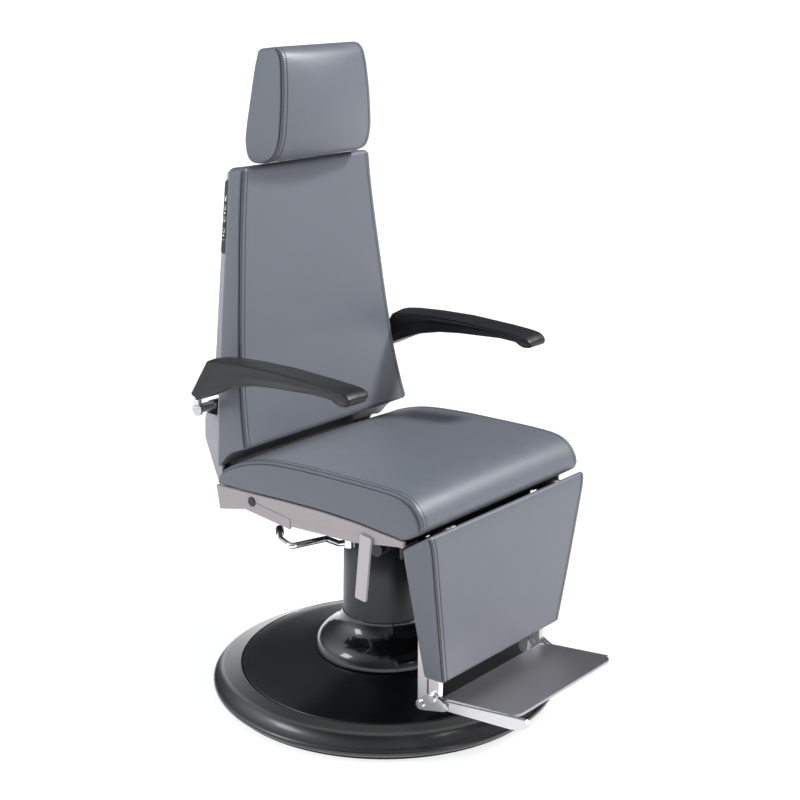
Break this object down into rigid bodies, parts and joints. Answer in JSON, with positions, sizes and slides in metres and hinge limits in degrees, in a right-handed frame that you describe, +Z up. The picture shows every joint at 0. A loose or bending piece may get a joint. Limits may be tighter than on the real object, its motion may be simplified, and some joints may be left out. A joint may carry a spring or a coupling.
{
  "type": "examination chair",
  "caption": "Upholstered examination chair on a round pedestal: lifting, swivelling seat, reclining back with coupled legrest, swing-up armrests, adjustable headrest, folding footplate.",
  "frame": {"origin": "centre of the base on the floor, under the column's axis", "axes": "+Z up, the sitter faces -Y, the sitter's left is +X"},
  "size_m": [0.6999, 0.824, 1.26],
  "materials": {
    "vinyl": "stitched leatherette, satin",
    "ply": "plywood",
    "beige_paint": "satin",
    "shell_grey": "satin",
    "black_gloss": "gloss",
    "black_satin": "satin",
    "dark_steel": "satin",
    "steel": "machined",
    "chrome": "polished",
    "aluminium": "satin",
    "tread": "satin anodised",
    "soft_black": "soft integral foam",
    "black_plastic": "matt",
    "bronze": "plain bearing"
  },
  "bodies": {
    "base": {"base_plate": "black_satin", "base_rim": "black_gloss", "base_cover": "black_gloss", "column_skirt": "black_gloss", "column_tube": "dark_steel", "guide_bush": "bronze"},
    "lift": {"mast": "steel", "column_cover": "black_satin", "head_flange": "dark_steel"},
    "seat": {"swivel_plate": "dark_steel", "underframe": "black_satin", "beam_front": "black_satin", "beam_rear": "black_satin", "seat_frame_left": "beige_paint", "seat_frame_right": "beige_paint", "seat_board": "ply", "seat_cushion": "vinyl", "pivot_bolt_left": "black_plastic", "pivot_bolt_right": "black_plastic", "leg_hinge_left": "chrome", "leg_hinge_right": "chrome"},
    "brake_lever": {"brake_rod": "chrome", "brake_grip": "black_plastic"},
    "flat_lever": {"flat_lever": "aluminium"},
    "clamp_knob": {"clamp_knob": "black_plastic"},
    "back": {"back_shell": "shell_grey", "back_board": "ply", "back_cushion": "vinyl", "back_arm_left": "dark_steel", "back_arm_right": "dark_steel", "arm_axle": "steel", "head_guide": "black_plastic", "keypad": "black_plastic"},
    "headrest_slide": {"head_stem_left": "steel", "head_stem_right": "steel", "head_cross": "steel"},
    "headrest": {"head_board": "ply", "head_cushion": "vinyl"},
    "armrest_left": {"arm_bracket_left": "aluminium", "arm_pad_left": "soft_black"},
    "armrest_right": {"arm_bracket_right": "aluminium", "arm_pad_right": "soft_black"},
    "legrest": {"leg_tube_left": "aluminium", "leg_tube_right": "aluminium", "leg_board": "ply", "leg_cushion": "vinyl"},
    "leg_links": {"leg_link_left": "aluminium", "leg_link_right": "aluminium"},
    "foot_carrier": {"foot_bracket_left": "chrome", "foot_bracket_right": "chrome"},
    "footplate": {"side_bar_left": "aluminium", "side_bar_right": "aluminium", "footplate": "tread"},
    "button_1": {"button_1": "black_plastic"},
    "button_2": {"button_2": "black_plastic"},
    "button_3": {"button_3": "black_plastic"},
    "button_4": {"button_4": "black_plastic"}
  },
  "joints": [
    {"name": "seat_height", "type": "slide", "parent": "base", "child": "lift", "axis": [0, 0, 1], "range_m": [0, 0.18]},
    {"name": "seat_swivel", "type": "hinge", "parent": "lift", "child": "seat", "pos_m": [0, 0, 0.35], "axis": [0, 0, 1], "range_deg": [-170, 170]},
    {"name": "back_recline", "type": "hinge", "parent": "seat", "child": "back", "pos_m": [0, 0.13, 0.417], "axis": [-1, 0, 0], "range_deg": [0, 75]},
    {"name": "legrest_lift", "type": "hinge", "parent": "seat", "child": "legrest", "pos_m": [0, -0.297, 0.445], "axis": [-1, 0, 0], "range_deg": [0, 75]},
    {"name": "link_swing", "type": "hinge", "parent": "seat", "child": "leg_links", "pos_m": [0, -0.27, 0.4243], "axis": [-1, 0, 0], "range_deg": [0, 75]},
    {"name": "footrest_level", "type": "hinge", "parent": "legrest", "child": "foot_carrier", "pos_m": [0, -0.262, 0.105], "axis": [-1, 0, 0], "range_deg": [-75, 0]},
    {"name": "footplate_fold", "type": "hinge", "parent": "foot_carrier", "child": "footplate", "pos_m": [0, -0.288, 0.096], "axis": [-1, 0, 0], "range_deg": [0, 45]},
    {"name": "headrest_height", "type": "slide", "parent": "back", "child": "headrest_slide", "axis": [0, 0, 1], "range_m": [0, 0.09]},
    {"name": "headrest_tilt", "type": "hinge", "parent": "headrest_slide", "child": "headrest", "pos_m": [0, 0.222, 1.092], "axis": [-1, 0, 0], "range_deg": [-6, 25]},
    {"name": "armrest_left_swing", "type": "hinge", "parent": "back", "child": "armrest_left", "pos_m": [0, 0.246, 0.585], "axis": [-1, 0, 0], "range_deg": [0, 95]},
    {"name": "armrest_right_swing", "type": "hinge", "parent": "back", "child": "armrest_right", "pos_m": [0, 0.246, 0.585], "axis": [-1, 0, 0], "range_deg": [0, 95]},
    {"name": "brake_swing", "type": "hinge", "parent": "seat", "child": "brake_lever", "pos_m": [-0.138, -0.03, 0.35], "axis": [0, 0, 1], "range_deg": [-12, 12]},
    {"name": "flat_lever_swing", "type": "hinge", "parent": "seat", "child": "flat_lever", "pos_m": [-0.241, -0.166, 0.416], "axis": [-1, 0, 0], "range_deg": [-15, 15]},
    {"name": "clamp_knob_turn", "type": "hinge", "parent": "seat", "child": "clamp_knob", "pos_m": [-0.16, -0.127, 0.366], "axis": [-1, 0, 0], "range_deg": [0, 270]},
    {"name": "button_1_press", "type": "slide", "parent": "back", "child": "button_1", "axis": [0.9923, 0, -0.1238], "range_m": [0, 0.001], "stiffness_N_per_m": 400, "springref_m": -0.0002},
    {"name": "button_2_press", "type": "slide", "parent": "back", "child": "button_2", "axis": [0.9923, 0, -0.1238], "range_m": [0, 0.001], "stiffness_N_per_m": 400, "springref_m": -0.0002},
    {"name": "button_3_press", "type": "slide", "parent": "back", "child": "button_3", "axis": [0.9923, 0, -0.1238], "range_m": [0, 0.001], "stiffness_N_per_m": 400, "springref_m": -0.0002},
    {"name": "button_4_press", "type": "slide", "parent": "back", "child": "button_4", "axis": [0.9923, 0, -0.1238], "range_m": [0, 0.001], "stiffness_N_per_m": 400, "springref_m": -0.0002}
  ],
  "couplings": [
    {"joint": "legrest_lift", "follows": "back_recline", "ratio": 1},
    {"joint": "link_swing", "follows": "back_recline", "ratio": 1},
    {"joint": "footrest_level", "follows": "back_recline", "ratio": -1}
  ]
}
